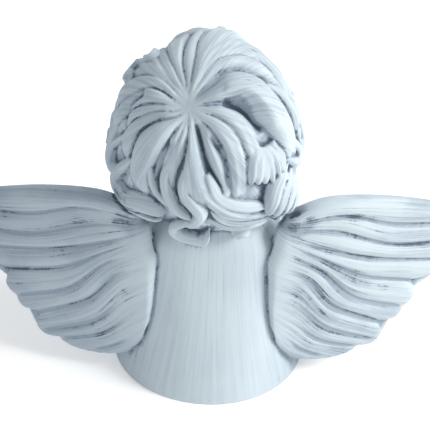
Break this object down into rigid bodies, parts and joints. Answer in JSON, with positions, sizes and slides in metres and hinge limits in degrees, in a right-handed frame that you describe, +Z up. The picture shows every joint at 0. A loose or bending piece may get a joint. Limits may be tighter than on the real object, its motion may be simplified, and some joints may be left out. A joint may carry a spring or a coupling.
{
  "type": "grave angel statue",
  "caption": "Winged child angel bust for a grave: curly head turned aside on a plain bell-shaped trunk with spread feathered wings, one casting on a round foot.",
  "frame": {"origin": "centre of the round flat underside, at ground level", "axes": "+Z up, -Y the way the trunk faces, +X to the statue's left along the wings"},
  "size_m": [0.3718, 0.139, 0.2505],
  "materials": {
    "antiqued_casting": "matt pale blue-grey paint rubbed over a dark slate-blue ground that stays in the recesses"
  },
  "bodies": {
    "root": {"angel_statue": "antiqued_casting"}
  },
  "joints": []
}
